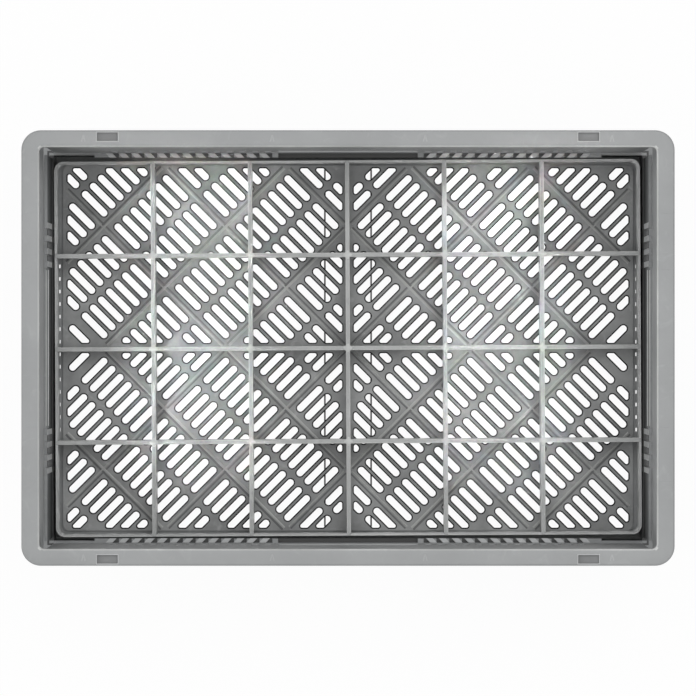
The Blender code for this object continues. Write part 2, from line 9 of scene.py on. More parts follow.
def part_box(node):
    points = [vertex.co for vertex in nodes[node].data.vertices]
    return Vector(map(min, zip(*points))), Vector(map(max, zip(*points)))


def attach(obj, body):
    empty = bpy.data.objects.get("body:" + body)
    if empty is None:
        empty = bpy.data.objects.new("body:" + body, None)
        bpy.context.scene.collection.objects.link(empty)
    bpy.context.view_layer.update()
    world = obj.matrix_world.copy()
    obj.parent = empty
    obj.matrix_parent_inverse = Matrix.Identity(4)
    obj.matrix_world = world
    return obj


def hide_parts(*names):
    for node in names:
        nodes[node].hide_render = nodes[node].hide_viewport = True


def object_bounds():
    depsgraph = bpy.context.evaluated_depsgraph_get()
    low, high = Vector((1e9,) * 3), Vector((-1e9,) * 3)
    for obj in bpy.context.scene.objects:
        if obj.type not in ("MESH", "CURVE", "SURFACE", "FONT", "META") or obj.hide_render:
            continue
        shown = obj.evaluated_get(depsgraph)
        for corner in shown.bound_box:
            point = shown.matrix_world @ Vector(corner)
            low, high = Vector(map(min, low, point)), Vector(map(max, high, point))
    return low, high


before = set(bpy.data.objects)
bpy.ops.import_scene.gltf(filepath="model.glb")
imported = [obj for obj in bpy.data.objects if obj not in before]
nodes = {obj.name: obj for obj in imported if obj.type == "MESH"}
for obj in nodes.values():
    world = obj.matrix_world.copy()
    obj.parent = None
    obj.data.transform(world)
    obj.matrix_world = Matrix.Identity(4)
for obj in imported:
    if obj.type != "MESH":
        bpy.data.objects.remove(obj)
cad_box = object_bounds()
MM = 0.001


# The tray is the crate's rigid foot: low walls, a ledge for the floor and two hinge rails.
# It is moulded in one shot from grey polypropylene, a little cloudy from washing and use.
# Everything else hinges on it or stands in it.
TRAY_GREY = (0.215, 0.222, 0.225)
TRAY_CLOUD = (0.31, 0.318, 0.32)
TRAY_EDGE = 0.35 * MM
SHARP_ANGLE = math.radians(40)
WELD_REACH = 0.01 * MM
GRAIN_DEPTH = 0.4 * MM
# The tray paint holds painted shade: black painted under the floor, at the foot of the end walls, on the
# long walls' tops in the middle opening and along the teeth, and on the end walls' tops in the gaps
# between the flap's comb bars.
END_GAPS = ((0.0, 75.9), (81.1, 87.7), (92.9, 99.8), (105.0, 112.0), (117.2, 182.5))
UNDER_FLOOR_SHADE = ((0.0, 262.0), (0.0, 170.0), (-1.0, 7.2), 1.4, 0.9)
FOOT_SHADE = ((278.5, 287.5), (0.0, 188.5), (-1.0, 7.2), 1.4, 0.9)
OPENING_SHADE = ((0.0, 66.0), (179.7, 184.6), (46.0, 54.9), 0.2, 0.97)
COMB_SHADE = ((66.0, 228.0), (179.7, 184.6), (46.0, 54.9), 0.2, 0.8)
END_GAP_SHADE = [((277.5, 282.8), gap, (46.0, 57.0), 1.0, 0.92) for gap in END_GAPS]
TRAY_PAINTED_SHADE = [UNDER_FLOOR_SHADE, FOOT_SHADE, OPENING_SHADE, COMB_SHADE, *END_GAP_SHADE]
SHADE_BLACK = (0.012, 0.012, 0.012)
SCUFF_LIGHT = 1.35
MIX_SHARE, MIX_FROM, MIX_TO, MIX_COLOUR = 0, 6, 7, 2


def moulded_plastic(name, body, cloud, roughness, grain=0.12, scuff=0.35, shade_zones=()):
    """Injection-moulded polypropylene: soft clouds, thin flow streaks and a fine spark-eroded grain.

    Each painted shade zone is a box in millimetres, as (near and far from the middle in X, the same in Y,
    low and high, the stretch under its top where the shade fades out, the share of black painted in as
    shade).
    """
    paint = bpy.data.materials.new(name)
    paint.use_nodes = True
    tree = paint.node_tree
    shader = tree.nodes["Principled BSDF"]
    link = tree.links.new
    where = tree.nodes.new("ShaderNodeTexCoord")
    clouds = tree.nodes.new("ShaderNodeTexNoise")
    clouds.inputs["Scale"].default_value = 14.0
    clouds.inputs["Detail"].default_value = 5.0
    clouds.inputs["Roughness"].default_value = 0.62
    link(where.outputs["Object"], clouds.inputs["Vector"])
    cloud_range = tree.nodes.new("ShaderNodeMapRange")
    cloud_range.inputs["From Min"].default_value = 0.36
    cloud_range.inputs["From Max"].default_value = 0.7
    link(clouds.outputs["Fac"], cloud_range.inputs["Value"])
    streaks = tree.nodes.new("ShaderNodeTexNoise")
    streaks.inputs["Scale"].default_value = 55.0
    streaks.inputs["Detail"].default_value = 6.0
    streaks.inputs["Distortion"].default_value = 1.4
    link(where.outputs["Object"], streaks.inputs["Vector"])
    streak_range = tree.nodes.new("ShaderNodeMapRange")
    streak_range.inputs["From Min"].default_value = 0.58
    streak_range.inputs["From Max"].default_value = 0.78
    streak_range.inputs["To Max"].default_value = scuff
    link(streaks.outputs["Fac"], streak_range.inputs["Value"])
    tint = tree.nodes.new("ShaderNodeMix")
    tint.data_type = "RGBA"
    tint.inputs[MIX_FROM].default_value = (*body, 1.0)
    tint.inputs[MIX_TO].default_value = (*cloud, 1.0)
    link(cloud_range.outputs["Result"], tint.inputs[MIX_SHARE])
    worn = tree.nodes.new("ShaderNodeMix")
    worn.data_type = "RGBA"
    worn.inputs[MIX_TO].default_value = (*[min(1.0, c * SCUFF_LIGHT) for c in cloud], 1.0)
    link(streak_range.outputs["Result"], worn.inputs[MIX_SHARE])
    link(tint.outputs[MIX_COLOUR], worn.inputs[MIX_FROM])
    colour = worn.outputs[MIX_COLOUR]
    spot = tree.nodes.new("ShaderNodeSeparateXYZ")
    link(where.outputs["Object"], spot.inputs["Vector"])
    # Each zone paints shade: the colour is mixed towards black inside its box and fades out under its top.
    for x_band, y_band, z_band, fade, depth in shade_zones:
        fall = tree.nodes.new("ShaderNodeMapRange")
        fall.inputs["From Min"].default_value = (z_band[1] - fade) * MM
        fall.inputs["From Max"].default_value = z_band[1] * MM
        fall.inputs["To Min"].default_value = depth
        fall.inputs["To Max"].default_value = 0.0
        link(spot.outputs["Z"], fall.inputs["Value"])
        amount = fall.outputs["Result"]
        for axis, (near, far) in zip("XYZ", (x_band, y_band, z_band)):
            out = tree.nodes.new("ShaderNodeMath")
            out.operation = "ABSOLUTE"
            link(spot.outputs[axis], out.inputs[0])
            band = tree.nodes.new("ShaderNodeMath")
            band.operation = "COMPARE"
            band.inputs[1].default_value = (near + far) / 2 * MM
            band.inputs[2].default_value = (far - near) / 2 * MM
            link(out.outputs[0], band.inputs[0])
            both = tree.nodes.new("ShaderNodeMath")
            both.operation = "MULTIPLY"
            link(amount, both.inputs[0])
            link(band.outputs[0], both.inputs[1])
            amount = both.outputs[0]
        painted_shade_mix = tree.nodes.new("ShaderNodeMix")
        painted_shade_mix.data_type = "RGBA"
        painted_shade_mix.inputs[MIX_TO].default_value = (*SHADE_BLACK, 1.0)
        link(amount, painted_shade_mix.inputs[MIX_SHARE])
        link(colour, painted_shade_mix.inputs[MIX_FROM])
        colour = painted_shade_mix.outputs[MIX_COLOUR]
    link(colour, shader.inputs["Base Color"])
    dull = tree.nodes.new("ShaderNodeMapRange")
    dull.inputs["To Min"].default_value = roughness - 0.07
    dull.inputs["To Max"].default_value = roughness + 0.1
    link(clouds.outputs["Fac"], dull.inputs["Value"])
    link(dull.outputs["Result"], shader.inputs["Roughness"])
    fine = tree.nodes.new("ShaderNodeTexNoise")
    fine.inputs["Scale"].default_value = 900.0
    fine.inputs["Detail"].default_value = 2.0
    link(where.outputs["Object"], fine.inputs["Vector"])
    bump = tree.nodes.new("ShaderNodeBump")
    bump.inputs["Strength"].default_value = grain
    bump.inputs["Distance"].default_value = GRAIN_DEPTH
    link(fine.outputs["Fac"], bump.inputs["Height"])
    link(bump.outputs["Normal"], shader.inputs["Normal"])
    shader.inputs["IOR"].default_value = 1.49
    return paint


def soften(piece, paint, width):
    """Weld the facets, round the moulded edges and give the piece its finish."""
    weld = piece.modifiers.new("weld", "WELD")
    weld.merge_threshold = WELD_REACH
    edges = piece.modifiers.new("edges", "BEVEL")
    edges.limit_method = "ANGLE"
    edges.angle_limit = SHARP_ANGLE
    edges.width = width
    edges.segments = 2
    edges.use_clamp_overlap = True
    piece.data.materials.clear()
    piece.data.materials.append(paint)


tray_paint = moulded_plastic("tray_polypropylene", TRAY_GREY, TRAY_CLOUD, 0.42, shade_zones=TRAY_PAINTED_SHADE)
soften(nodes["base_frame"], tray_paint, TRAY_EDGE)


# A comb of leaning teeth runs along the top of each long tray wall, on both sides of the middle gap.
# The teeth are moulded with the tray in the same polypropylene. Their inner ends lean to the middle.
# The teeth's paint is about twice as light as the tray's: painted light on the teeth.
TOOTH_LIT_GREY = (0.42, 0.428, 0.43)
TOOTH_LIT_CLOUD = (0.52, 0.528, 0.53)
TOOTH_EDGE = 0.25 * MM
TOOTH_PITCH = 12.1 * MM
TOOTH_WIDTH = 6.6 * MM
TOOTH_FIRST = 81.0 * MM
TOOTH_COUNT = 13
TOOTH_LEAN = 3.9 * MM
TOOTH_Y = (180.1 * MM, 184.2 * MM)
TOOTH_Z = (52.6 * MM, 55.4 * MM)
tooth_mesh = bmesh.new()
for sx in (-1, 1):
    for sy in (-1, 1):
        for i in range(TOOTH_COUNT):
            middle = TOOTH_FIRST + i * TOOTH_PITCH
            foot = []
            for y, lean in ((TOOTH_Y[0], -TOOTH_LEAN), (TOOTH_Y[1], 0.0)):
                corners = (middle + lean - TOOTH_WIDTH / 2, middle + lean + TOOTH_WIDTH / 2)
                foot.append([(sx * x, sy * y) for x in corners])
            outline = [foot[0][0], foot[0][1], foot[1][1], foot[1][0]]
            low, high = ([tooth_mesh.verts.new((x, y, z)) for x, y in outline] for z in TOOTH_Z)
            for k in range(4):
                tooth_mesh.faces.new([low[k], low[k - 3], high[k - 3], high[k]])
            tooth_mesh.faces.new(high)
            tooth_mesh.faces.new(low[::-1])
bmesh.ops.recalc_face_normals(tooth_mesh, faces=tooth_mesh.faces)
tooth_data = bpy.data.meshes.new("rail_teeth")
tooth_mesh.to_mesh(tooth_data)
tooth_mesh.free()
teeth = bpy.data.objects.new("rail_teeth", tooth_data)
bpy.context.scene.collection.objects.link(teeth)
lit_tooth_paint = moulded_plastic("tooth_polypropylene_lit", TOOTH_LIT_GREY, TOOTH_LIT_CLOUD, 0.4)
soften(teeth, lit_tooth_paint, TOOTH_EDGE)
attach(teeth, "base")


# The floor is a flat polypropylene panel that drops onto the tray's ledge, pierced by slots at 45 degrees.
# The slots lie in square cells that point to the middle, and are mirrored over both centre lines.
# Low ridges run along the solid bands between the cells; their lighter paint is a painted highlight.
FLOOR_GREY = (0.128, 0.132, 0.133)
FLOOR_CLOUD = (0.305, 0.311, 0.309)
SLOT_CELL = 82.2 * MM
SLOT_PITCH = 10.86 * MM
SLOT_COLUMNS = 7
SLOT_ROW = 19.1 * MM
SLOT_LENGTH = 31.8 * MM
SLOT_WIDTH = 6.5 * MM
SLOT_LEAST = 2.4 * MM * MM
SLOT_EASE = 1.7 * MM
SLOT_STEP_LEAST = 0.02 * MM
SLOT_MARGIN = (4.4 * MM, 2.7 * MM)
CENTRE_BAND = (5.6 * MM, 4.9 * MM)
FLOOR_CORNER = 6.0 * MM
SLOT_LEAD_IN = 1.2 * MM
SLOT_LEAD_DEPTH = 0.6 * MM
# The slot walls are painted near black: painted shade inside the slots.
SLOT_SHADE = (0.008, 0.008, 0.009)
SLOT_SHADE_PALE = (0.02, 0.02, 0.021)
RIDGE_LIT_GREY = (0.27, 0.275, 0.269)
RIDGE_LIT_CLOUD = (0.4, 0.405, 0.395)
RIDGE_WIDTH = 2.6 * MM
RIDGE_HEIGHT = 0.3 * MM
RIDGE_STEPS = 6
RIDGE_FLARE = 1.5
RIDGE_LEAST = 50.0 * MM
# Beside each ridge lies a thin, nearly flat strip in a near-black paint: a painted shadow line.
SHADOW_LINE_GREY = (0.045, 0.047, 0.048)
SHADOW_LINE_CLOUD = (0.12, 0.123, 0.124)
SHADOW_LINE_HEIGHT = 0.05 * MM
SPOKE_LINES = ((-1.6 * MM, 1.6 * MM, True), (0.9 * MM, 1.6 * MM, False))
CHORD_LINES = ((0.0, RIDGE_WIDTH, True), (2.3 * MM, 2.0 * MM, False))
ARC_STEPS = 8
SWELL_STEP = math.radians(25)
LOOP_REACH = 1e-8
ROOT_HALF = math.sqrt(0.5)


def arc(cx, cy, radius, start, stop, steps):
    """Points on a round corner, from one angle in degrees to the other."""
    points = []
    for i in range(steps + 1):
        angle = math.radians(start + (stop - start) * i / steps)
        points.append((cx + radius * math.cos(angle), cy + radius * math.sin(angle)))
    return points


def rounded(half_x, half_y, radius, steps):
    """A rectangle about the middle with round corners, counter-clockwise."""
    points = []
    for turn, (sx, sy) in enumerate([(1, 1), (-1, 1), (-1, -1), (1, -1)]):
        start = 90 * turn
        points += arc(sx * (half_x - radius), sy * (half_y - radius), radius, start, start + 90, steps)
    return points


def cap(bm, loops, height, facing_up):
    """A flat face at one height, bounded by the first loop and pierced by the others."""
    points = []
    numbers = []
    for loop in loops:
        numbers.append(list(range(len(points), len(points) + len(loop))))
        points += [Vector(p) for p in loop]
    # The 1 keeps what lies inside the loops. Each face comes with the numbers of the loops round it.
    result = delaunay_2d_cdt(points, [], numbers, 1, LOOP_REACH)
    made_points, _, made_faces, sources_of, _, owners_of = result
    corners = []
    corner_of = {}
    for point, sources in zip(made_points, sources_of):
        corner = bm.verts.new((point.x, point.y, height))
        corners.append(corner)
        for source in sources:
            corner_of[source] = corner
    for face, owners in zip(made_faces, owners_of):
        if list(owners) == [0]:
            ring = [corners[i] for i in face]
            bm.faces.new(ring if facing_up else ring[::-1])
    return [[corner_of[i] for i in loop] for loop in numbers]


def wall(bm, lower, upper, paint_number):
    """A band of faces between two loops of corners."""
    for i in range(len(lower)):
        j = (i + 1) % len(lower)
        face = bm.faces.new([lower[i], lower[j], upper[j], upper[i]])
        face.material_index = paint_number


def slotted_plate(bm, outline, slots, wide_slots, low, high, lead_in):
    """A plate with slots that open out a little at the top, as one closed shell."""
    bottom = cap(bm, [outline] + slots, low, False)
    top = cap(bm, [outline] + wide_slots, high, True)
    wall(bm, bottom[0], top[0], 0)
    for slot, narrow, wide in zip(slots, bottom[1:], top[1:]):
        waist = [bm.verts.new((x, y, high - lead_in)) for x, y in slot]
        wall(bm, narrow, waist, 1)
        wall(bm, waist, wide, 1)


def clip_line(start, stop, half_x, half_y, inset):
    """The part of a slot's centre line that stays inside its quarter of the floor."""
    low, high = 0.0, 1.0
    limits = ((inset, half_x), (inset, half_y))
    for axis in (0, 1):
        run = stop[axis] - start[axis]
        ends = sorted(((limit - start[axis]) / run for limit in limits[axis]))
        low = max(low, ends[0])
        high = min(high, ends[1])
    if high < low:
        return None
    return [tuple(start[i] + (stop[i] - start[i]) * t for i in (0, 1)) for t in (low, high)]


def slot_outline(a, b, radius):
    """A slot with round ends about the two ends of its centre line."""
    heading = math.degrees(math.atan2(b[1] - a[1], b[0] - a[0]))
    far = arc(b[0], b[1], radius, heading - 90, heading + 90, ARC_STEPS)
    near = arc(a[0], a[1], radius, heading + 90, heading + 270, ARC_STEPS)
    return [Vector(p) for p in far + near]


def trim(points, axis, limit, way):
    """Cut an outline off at a straight edge of its field."""
    kept = []
    for i, p in enumerate(points):
        q = points[(i + 1) % len(points)]
        p_in = way * (limit - p[axis]) >= 0
        q_in = way * (limit - q[axis]) >= 0
        if p_in:
            kept.append(p)
        if p_in != q_in:
            kept.append(p.lerp(q, (limit - p[axis]) / (q[axis] - p[axis])))
    return kept


def swollen(points, width):
    """The outline that runs round another at a set distance, with its corners rounded."""
    wider = []
    for i, p in enumerate(points):
        before = p - points[i - 1]
        after = points[(i + 1) % len(points)] - p
        start = math.atan2(-before.x, before.y)
        sweep = (math.atan2(-after.x, after.y) - start) % math.tau
        steps = 1 + int(sweep / SWELL_STEP)
        for k in range(steps + 1):
            angle = start + sweep * k / steps
            wider.append((p.x + width * math.cos(angle), p.y + width * math.sin(angle)))
    return wider


def area(points):
    """The area that an outline of straight lines encloses."""
    return abs(sum(p.cross(points[i - 1]) for i, p in enumerate(points))) / 2


def quarter_slots(half_x, half_y):
    """Outlines of one quarter's slots, from the cell rule, cut off at the centre bands and the edges."""
    run = (SLOT_LENGTH - SLOT_WIDTH) / 2
    field = []
    for axis, outer in ((0, half_x), (1, half_y)):
        field += [(axis, outer - SLOT_EASE, 1), (axis, CENTRE_BAND[axis] + SLOT_EASE, -1)]
    cells = int((half_x + half_y) * ROOT_HALF / SLOT_CELL) + 1
    outlines = []
    for row in range(cells):
        for column in range(-cells, cells):
            for side in (-1, 1):
                along = (row + 0.5) * SLOT_CELL + side * SLOT_ROW
                for i in range(SLOT_COLUMNS):
                    across = (column + 0.5) * SLOT_CELL + (i - (SLOT_COLUMNS - 1) / 2) * SLOT_PITCH
                    ends = []
                    for s in (along - run, along + run):
                        ends.append(((s + across) * ROOT_HALF, (s - across) * ROOT_HALF))
                    core = slot_outline(*ends, SLOT_WIDTH / 2 - SLOT_EASE)
                    for axis, limit, way in field:
                        core = trim(core, axis, limit, way)
                    core = [p for k, p in enumerate(core) if (p - core[k - 1]).length > SLOT_STEP_LEAST]
                    if len(core) > 2 and area(core) > SLOT_LEAST:
                        outlines.append(core)
    return outlines


def ridge(bm, a, b, base, height, width):
    """A low soft ridge from a to b that runs out flat into the surface at its sides."""
    along = (Vector(b) - Vector(a)).normalized()
    across = Vector((-along.y, along.x)) * width / 2
    rows = []
    for end in (Vector(a), Vector(b)):
        row = []
        for i in range(RIDGE_STEPS + 1):
            u = 2 * i / RIDGE_STEPS - 1
            p = end + across * u
            row.append(bm.verts.new((p.x, p.y, base + height * (1 - u * u) ** RIDGE_FLARE)))
        rows.append(row)
    for i in range(RIDGE_STEPS):
        bm.faces.new([rows[0][i], rows[0][i + 1], rows[1][i + 1], rows[1][i]]).smooth = True
    bm.faces.new([rows[0][0], rows[1][0], rows[1][-1], rows[0][-1]])
    bm.faces.new(rows[0][::-1])
    bm.faces.new(rows[1])


def mesh_piece(name, bm):
    """A piece of the crate in the scene, from finished mesh work."""
    bmesh.ops.recalc_face_normals(bm, faces=bm.faces)
    mesh = bpy.data.meshes.new(name)
    bm.to_mesh(mesh)
    bm.free()
    made = bpy.data.objects.new(name, mesh)
    bpy.context.scene.collection.objects.link(made)
    return made


floor_low, floor_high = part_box("floor_panel")
slot_x = floor_high.x - SLOT_MARGIN[0]
slot_y = floor_high.y - SLOT_MARGIN[1]
floor_slots = []
wide_slots = []
for sx in (-1, 1):
    for sy in (-1, 1):
        for shape in quarter_slots(slot_x, slot_y):
            for width, rings in ((SLOT_EASE, floor_slots), (SLOT_EASE + SLOT_LEAD_IN, wide_slots)):
                mirrored = [(sx * x, sy * y) for x, y in swollen(shape, width)]
                rings.append(mirrored if sx * sy > 0 else mirrored[::-1])
floor_mesh = bmesh.new()
floor_rim = rounded(floor_high.x, floor_high.y, FLOOR_CORNER, ARC_STEPS)
slotted_plate(floor_mesh, floor_rim, floor_slots, wide_slots, floor_low.z, floor_high.z, SLOT_LEAD_DEPTH)
floor_plate = mesh_piece("slotted_floor", floor_mesh)
floor_paint = moulded_plastic("floor_polypropylene", FLOOR_GREY, FLOOR_CLOUD, 0.33, 0.08, 0.5)
# The slot walls' near-black paint is painted shade.
slot_shade_paint = moulded_plastic("shaded_slot_walls", SLOT_SHADE, SLOT_SHADE_PALE, 0.55, 0.1, 0.2)
slot_shade_paint.node_tree.nodes["Principled BSDF"].inputs["Specular IOR Level"].default_value = 0.1
floor_plate.data.materials.append(floor_paint)
floor_plate.data.materials.append(slot_shade_paint)
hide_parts("floor_panel")
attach(floor_plate, "base")

# The thin dark strips beside the ridges are painted shadow lines.
shadow_line_mesh = bmesh.new()
ridge_mesh = bmesh.new()
ridge_count = int((slot_x + slot_y) * ROOT_HALF / SLOT_CELL) + 1
reach = 2 * (slot_x + slot_y)
for sx in (-1, 1):
    for sy in (-1, 1):
        for k in range(-ridge_count, ridge_count + 1):
            aside = k * SLOT_CELL
            spoke = [((s + aside) * ROOT_HALF, (s - aside) * ROOT_HALF) for s in (-reach, reach)]
            chord = [((aside + s) * ROOT_HALF, (aside - s) * ROOT_HALF) for s in (-reach, reach)]
            for ends, lines in ((spoke, SPOKE_LINES), (chord, CHORD_LINES)):
                inside = clip_line(*ends, slot_x, slot_y, RIDGE_WIDTH)
                if inside and (Vector(inside[0]) - Vector(inside[1])).length > RIDGE_LEAST:
                    a, b = [Vector((sx * x, sy * y)) for x, y in inside]
                    normal = (b - a).normalized().orthogonal() * sx * sy
                    for shift, width, crest in lines:
                        start, stop = a + normal * shift, b + normal * shift
                        if crest:
                            ridge(ridge_mesh, start, stop, floor_high.z, RIDGE_HEIGHT, width)
                        else:
                            ridge(shadow_line_mesh, start, stop, floor_high.z, SHADOW_LINE_HEIGHT, width)
shadow_line_paint = moulded_plastic("painted_shadow_line", SHADOW_LINE_GREY, SHADOW_LINE_CLOUD, 0.4, 0.06, 0.4)
lit_ridge_paint = moulded_plastic("ridge_polypropylene_lit", RIDGE_LIT_GREY, RIDGE_LIT_CLOUD, 0.35, 0.06, 0.4)
FLOOR_LINES = (
    ("floor_shadow_lines", shadow_line_mesh, shadow_line_paint),
    ("floor_ridges", ridge_mesh, lit_ridge_paint),
)
for name, bm, paint in FLOOR_LINES:
    line_work = mesh_piece(name, bm)
    line_work.data.set_sharp_from_angle(angle=SHARP_ANGLE)
    line_work.data.materials.append(paint)
    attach(line_work, "base")


# Eight straight rods of drawn steel wire are the hinge pins of the long walls and the end flaps.
# They are pushed in from one side and stay in the knuckles.
STEEL = (0.55, 0.56, 0.57)
STEEL_SHADE = 0.7


def drawn_steel(name):
    """Bright wire with fine marks from the drawing die."""
    paint = bpy.data.materials.new(name)
    paint.use_nodes = True
    tree = paint.node_tree
    shader = tree.nodes["Principled BSDF"]
    where = tree.nodes.new("ShaderNodeTexCoord")
    lines = tree.nodes.new("ShaderNodeTexNoise")
    lines.inputs["Scale"].default_value = 700.0
    tree.links.new(where.outputs["Object"], lines.inputs["Vector"])
    shade = tree.nodes.new("ShaderNodeMix")
    shade.data_type = "RGBA"
    shade.inputs[MIX_FROM].default_value = (*[c * STEEL_SHADE for c in STEEL], 1.0)
    shade.inputs[MIX_TO].default_value = (*STEEL, 1.0)
    tree.links.new(lines.outputs["Fac"], shade.inputs[MIX_SHARE])
    tree.links.new(shade.outputs[MIX_COLOUR], shader.inputs["Base Color"])
    shader.inputs["Metallic"].default_value = 1.0
    shader.inputs["Roughness"].default_value = 0.3
    return paint


steel_paint = drawn_steel("drawn_steel_wire")
for node in nodes:
    if node.endswith("_rod"):
        nodes[node].data.materials.clear()
        nodes[node].data.materials.append(steel_paint)


# Each long wall is two polypropylene panels on a middle hinge rod, and folds flat inwards under the rim.
# The lower panel is a comb of slats with a plain opening in the middle, and the upper one is closed.
WALL_GREY = (0.235, 0.242, 0.245)
WALL_CLOUD = (0.32, 0.327, 0.33)
WALL_EDGE = 0.4 * MM
wall_paint = moulded_plastic("wall_polypropylene", WALL_GREY, WALL_CLOUD, 0.42)
for side in ("front", "back"):
    for part in ("lower", "upper"):
        soften(nodes[f"{side}_{part}_panel"], wall_paint, WALL_EDGE)


# A polypropylene flap stands on a rod at each short end and folds inwards before the walls go down.
# Its comb of bars and the notch between them leave room for a hand under the rim.
# The flap paint is a darker copy of the wall paint and grows darker still towards the bottom, with a dull
# paint on its inner faces: painted shade of the deep gap between flap and dividers.
FLAP_SHADED_GREY = (0.2, 0.206, 0.209)
FLAP_SHADED_CLOUD = (0.28, 0.287, 0.29)
FLAP_PAINTED_SHADE = [((278.5, 282.6), (0.0, 179.5), (46.0, 134.0), 64.0, 0.86)]
FLAP_EDGE = 0.3 * MM
FACING_IN = -0.9
SILL_HALF = 73.0 * MM
SILL_Z = 109.0 * MM
SILL_BEADS = (280.5 * MM, 282.6 * MM)
SILL_BEAD_HEIGHT = 0.3 * MM
SILL_BEAD_WIDTH = 0.8 * MM
# This light paint on the hand-hold's edge beads, the dividers' top beads and the rim opening's edge is a
# painted highlight.
HIGHLIGHT_GREY = (0.4, 0.408, 0.4)
HIGHLIGHT_CLOUD = (0.55, 0.558, 0.55)
COMB_BARS = (78.5 * MM, 90.3 * MM, 102.4 * MM, 114.6 * MM)
# The comb bars are painted about twice as light as the flap they belong to: painted light on the bars.
BAR_LIT_GREY = (0.4, 0.407, 0.41)
BAR_LIT_CLOUD = (0.5, 0.507, 0.51)
BAR_FRONT = 279.8 * MM
BAR_BACK = 280.3 * MM
BAR_HALF = 2.6 * MM
BAR_LOW = 62.0 * MM
BAR_HIGH = 136.0 * MM
BAR_CORNERS = ((-BAR_HALF, BAR_LOW), (BAR_HALF, BAR_LOW), (BAR_HALF, BAR_HIGH), (-BAR_HALF, BAR_HIGH))
BAR_EDGE = 0.1 * MM
flap_paint = moulded_plastic("flap_polypropylene", FLAP_SHADED_GREY, FLAP_SHADED_CLOUD, 0.42, shade_zones=FLAP_PAINTED_SHADE)
shaded_inner_paint = moulded_plastic("shaded_flap_inner_face", FLAP_SHADED_GREY, FLAP_SHADED_CLOUD, 0.8, shade_zones=FLAP_PAINTED_SHADE)
shaded_inner_paint.node_tree.nodes["Principled BSDF"].inputs["Specular IOR Level"].default_value = 0.05
lit_bar_paint = moulded_plastic("comb_bar_polypropylene_lit", BAR_LIT_GREY, BAR_LIT_CLOUD, 0.4)
highlight_paint = moulded_plastic("painted_edge_highlight", HIGHLIGHT_GREY, HIGHLIGHT_CLOUD, 0.3, 0.05, 0.4)
for side, sx in (("left", -1), ("right", 1)):
    flap = nodes[f"{side}_end_flap"]
    soften(flap, flap_paint, FLAP_EDGE)
    flap.data.materials.append(shaded_inner_paint)
    # Faces that look inwards get the dull, darker paint: painted shade.
    for face in flap.data.polygons:
        face.material_index = 1 if face.normal.x * sx < FACING_IN else 0
    sill_mesh = bmesh.new()
    for x in SILL_BEADS:
        start, stop = (sx * x, -SILL_HALF), (sx * x, SILL_HALF)
        ridge(sill_mesh, start, stop, SILL_Z, SILL_BEAD_HEIGHT, SILL_BEAD_WIDTH)
    sill = mesh_piece(f"{side}_handhold_beads", sill_mesh)
    sill.data.set_sharp_from_angle(angle=SHARP_ANGLE)
    sill.data.materials.append(highlight_paint)
    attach(sill, f"{side}_end")
    bar_mesh = bmesh.new()
    for y in COMB_BARS:
        for middle in (-y, y):
            front = [bar_mesh.verts.new((sx * BAR_FRONT, middle + half, z)) for half, z in BAR_CORNERS]
            back = [bar_mesh.verts.new((sx * BAR_BACK, middle + half, z)) for half, z in BAR_CORNERS]
            wall(bar_mesh, front, back, 0)
            bar_mesh.faces.new(front)
            bar_mesh.faces.new(back[::-1])
    bars = mesh_piece(f"{side}_comb_bars", bar_mesh)
    soften(bars, lit_bar_paint, BAR_EDGE)
    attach(bars, f"{side}_end")


# The top frame is the stacking rim: a flange, an apron and two end skirts, in one polypropylene moulding.
# It carries the upper panels on hinge ears and drops straight down as the walls fold.
RIM_GREY = (0.255, 0.262, 0.264)
RIM_CLOUD = (0.292, 0.299, 0.301)
# The pocket floors are painted darker than the rim, painted shade in the recesses, and the raised borders
# lighter, a painted highlight.
POCKET_SHADE_GREY = (0.15, 0.154, 0.155)
POCKET_SHADE_CLOUD = (0.2, 0.204, 0.206)
BORDER_LIT_GREY = (0.36, 0.367, 0.37)
BORDER_LIT_CLOUD = (0.42, 0.427, 0.43)
# The skirts' inward faces are painted lighter than the rest of the same moulding: painted light.
SKIRT_LIT_GREY = (0.34, 0.348, 0.352)
SKIRT_LIT_CLOUD = (0.4, 0.408, 0.412)
# The flow marks are real low ridges; their lighter paint is a painted sheen.
FLOW_SHEEN_GREY = (0.285, 0.292, 0.295)
FLOW_SHEEN_CLOUD = (0.34, 0.347, 0.35)
RIM_HALF = (300.0 * MM, 200.0 * MM)
RIM_CORNER = 18.0 * MM
RIM_BOW = 1.3 * MM
BOW_HALF = 280.0 * MM
OPENING_HALF = (283.5 * MM, 184.4 * MM)
OPENING_CORNER = 4.6 * MM
CORNER_STEPS = 12
FLANGE_TOP = 209.7 * MM
OUTER_SECTION = (
    (0.4, 170.4), (0.4, 205.4), (0.0, 206.2), (0.0, 208.4),
    (0.3, 209.1), (0.9, 209.55), (1.8, 209.7),
)
OPENING_SECTION = (
    (2.6, 209.7), (1.4, 209.55), (0.5, 209.0), (0.0, 208.0),
    (0.0, 202.5), (0.4, 202.0), (2.0, 202.0), (2.3, 206.0),
)
APRON_SECTION = ((2.9, 206.0), (2.9, 170.4), (2.5, 170.0), (0.8, 170.0))
POCKET_X = 221.0 * MM
POCKET_Y = 194.0 * MM
POCKET_HALF = (9.5 * MM, 3.8 * MM)
POCKET_FLOOR = 207.4 * MM
POCKET_CUT = 2.0 * MM
POCKET_BORDER = 1.1 * MM
BORDER_CORNER = 0.6 * MM
BORDER_SECTION = ((POCKET_BORDER, 209.5), (POCKET_BORDER * 0.8, 210.0), (0.2 * MM, 210.0), (0.0, 209.5))
SKIRT_X = (283.7 * MM, 286.2 * MM)
SKIRT_HALF = 198.6 * MM
SKIRT_TOP = 206.5 * MM
GRIP_X = (284.7 * MM, 293.5 * MM)
GRIP_HALF = 182.0 * MM
GRIP_RISE = (0.4 * MM, 3.4 * MM)
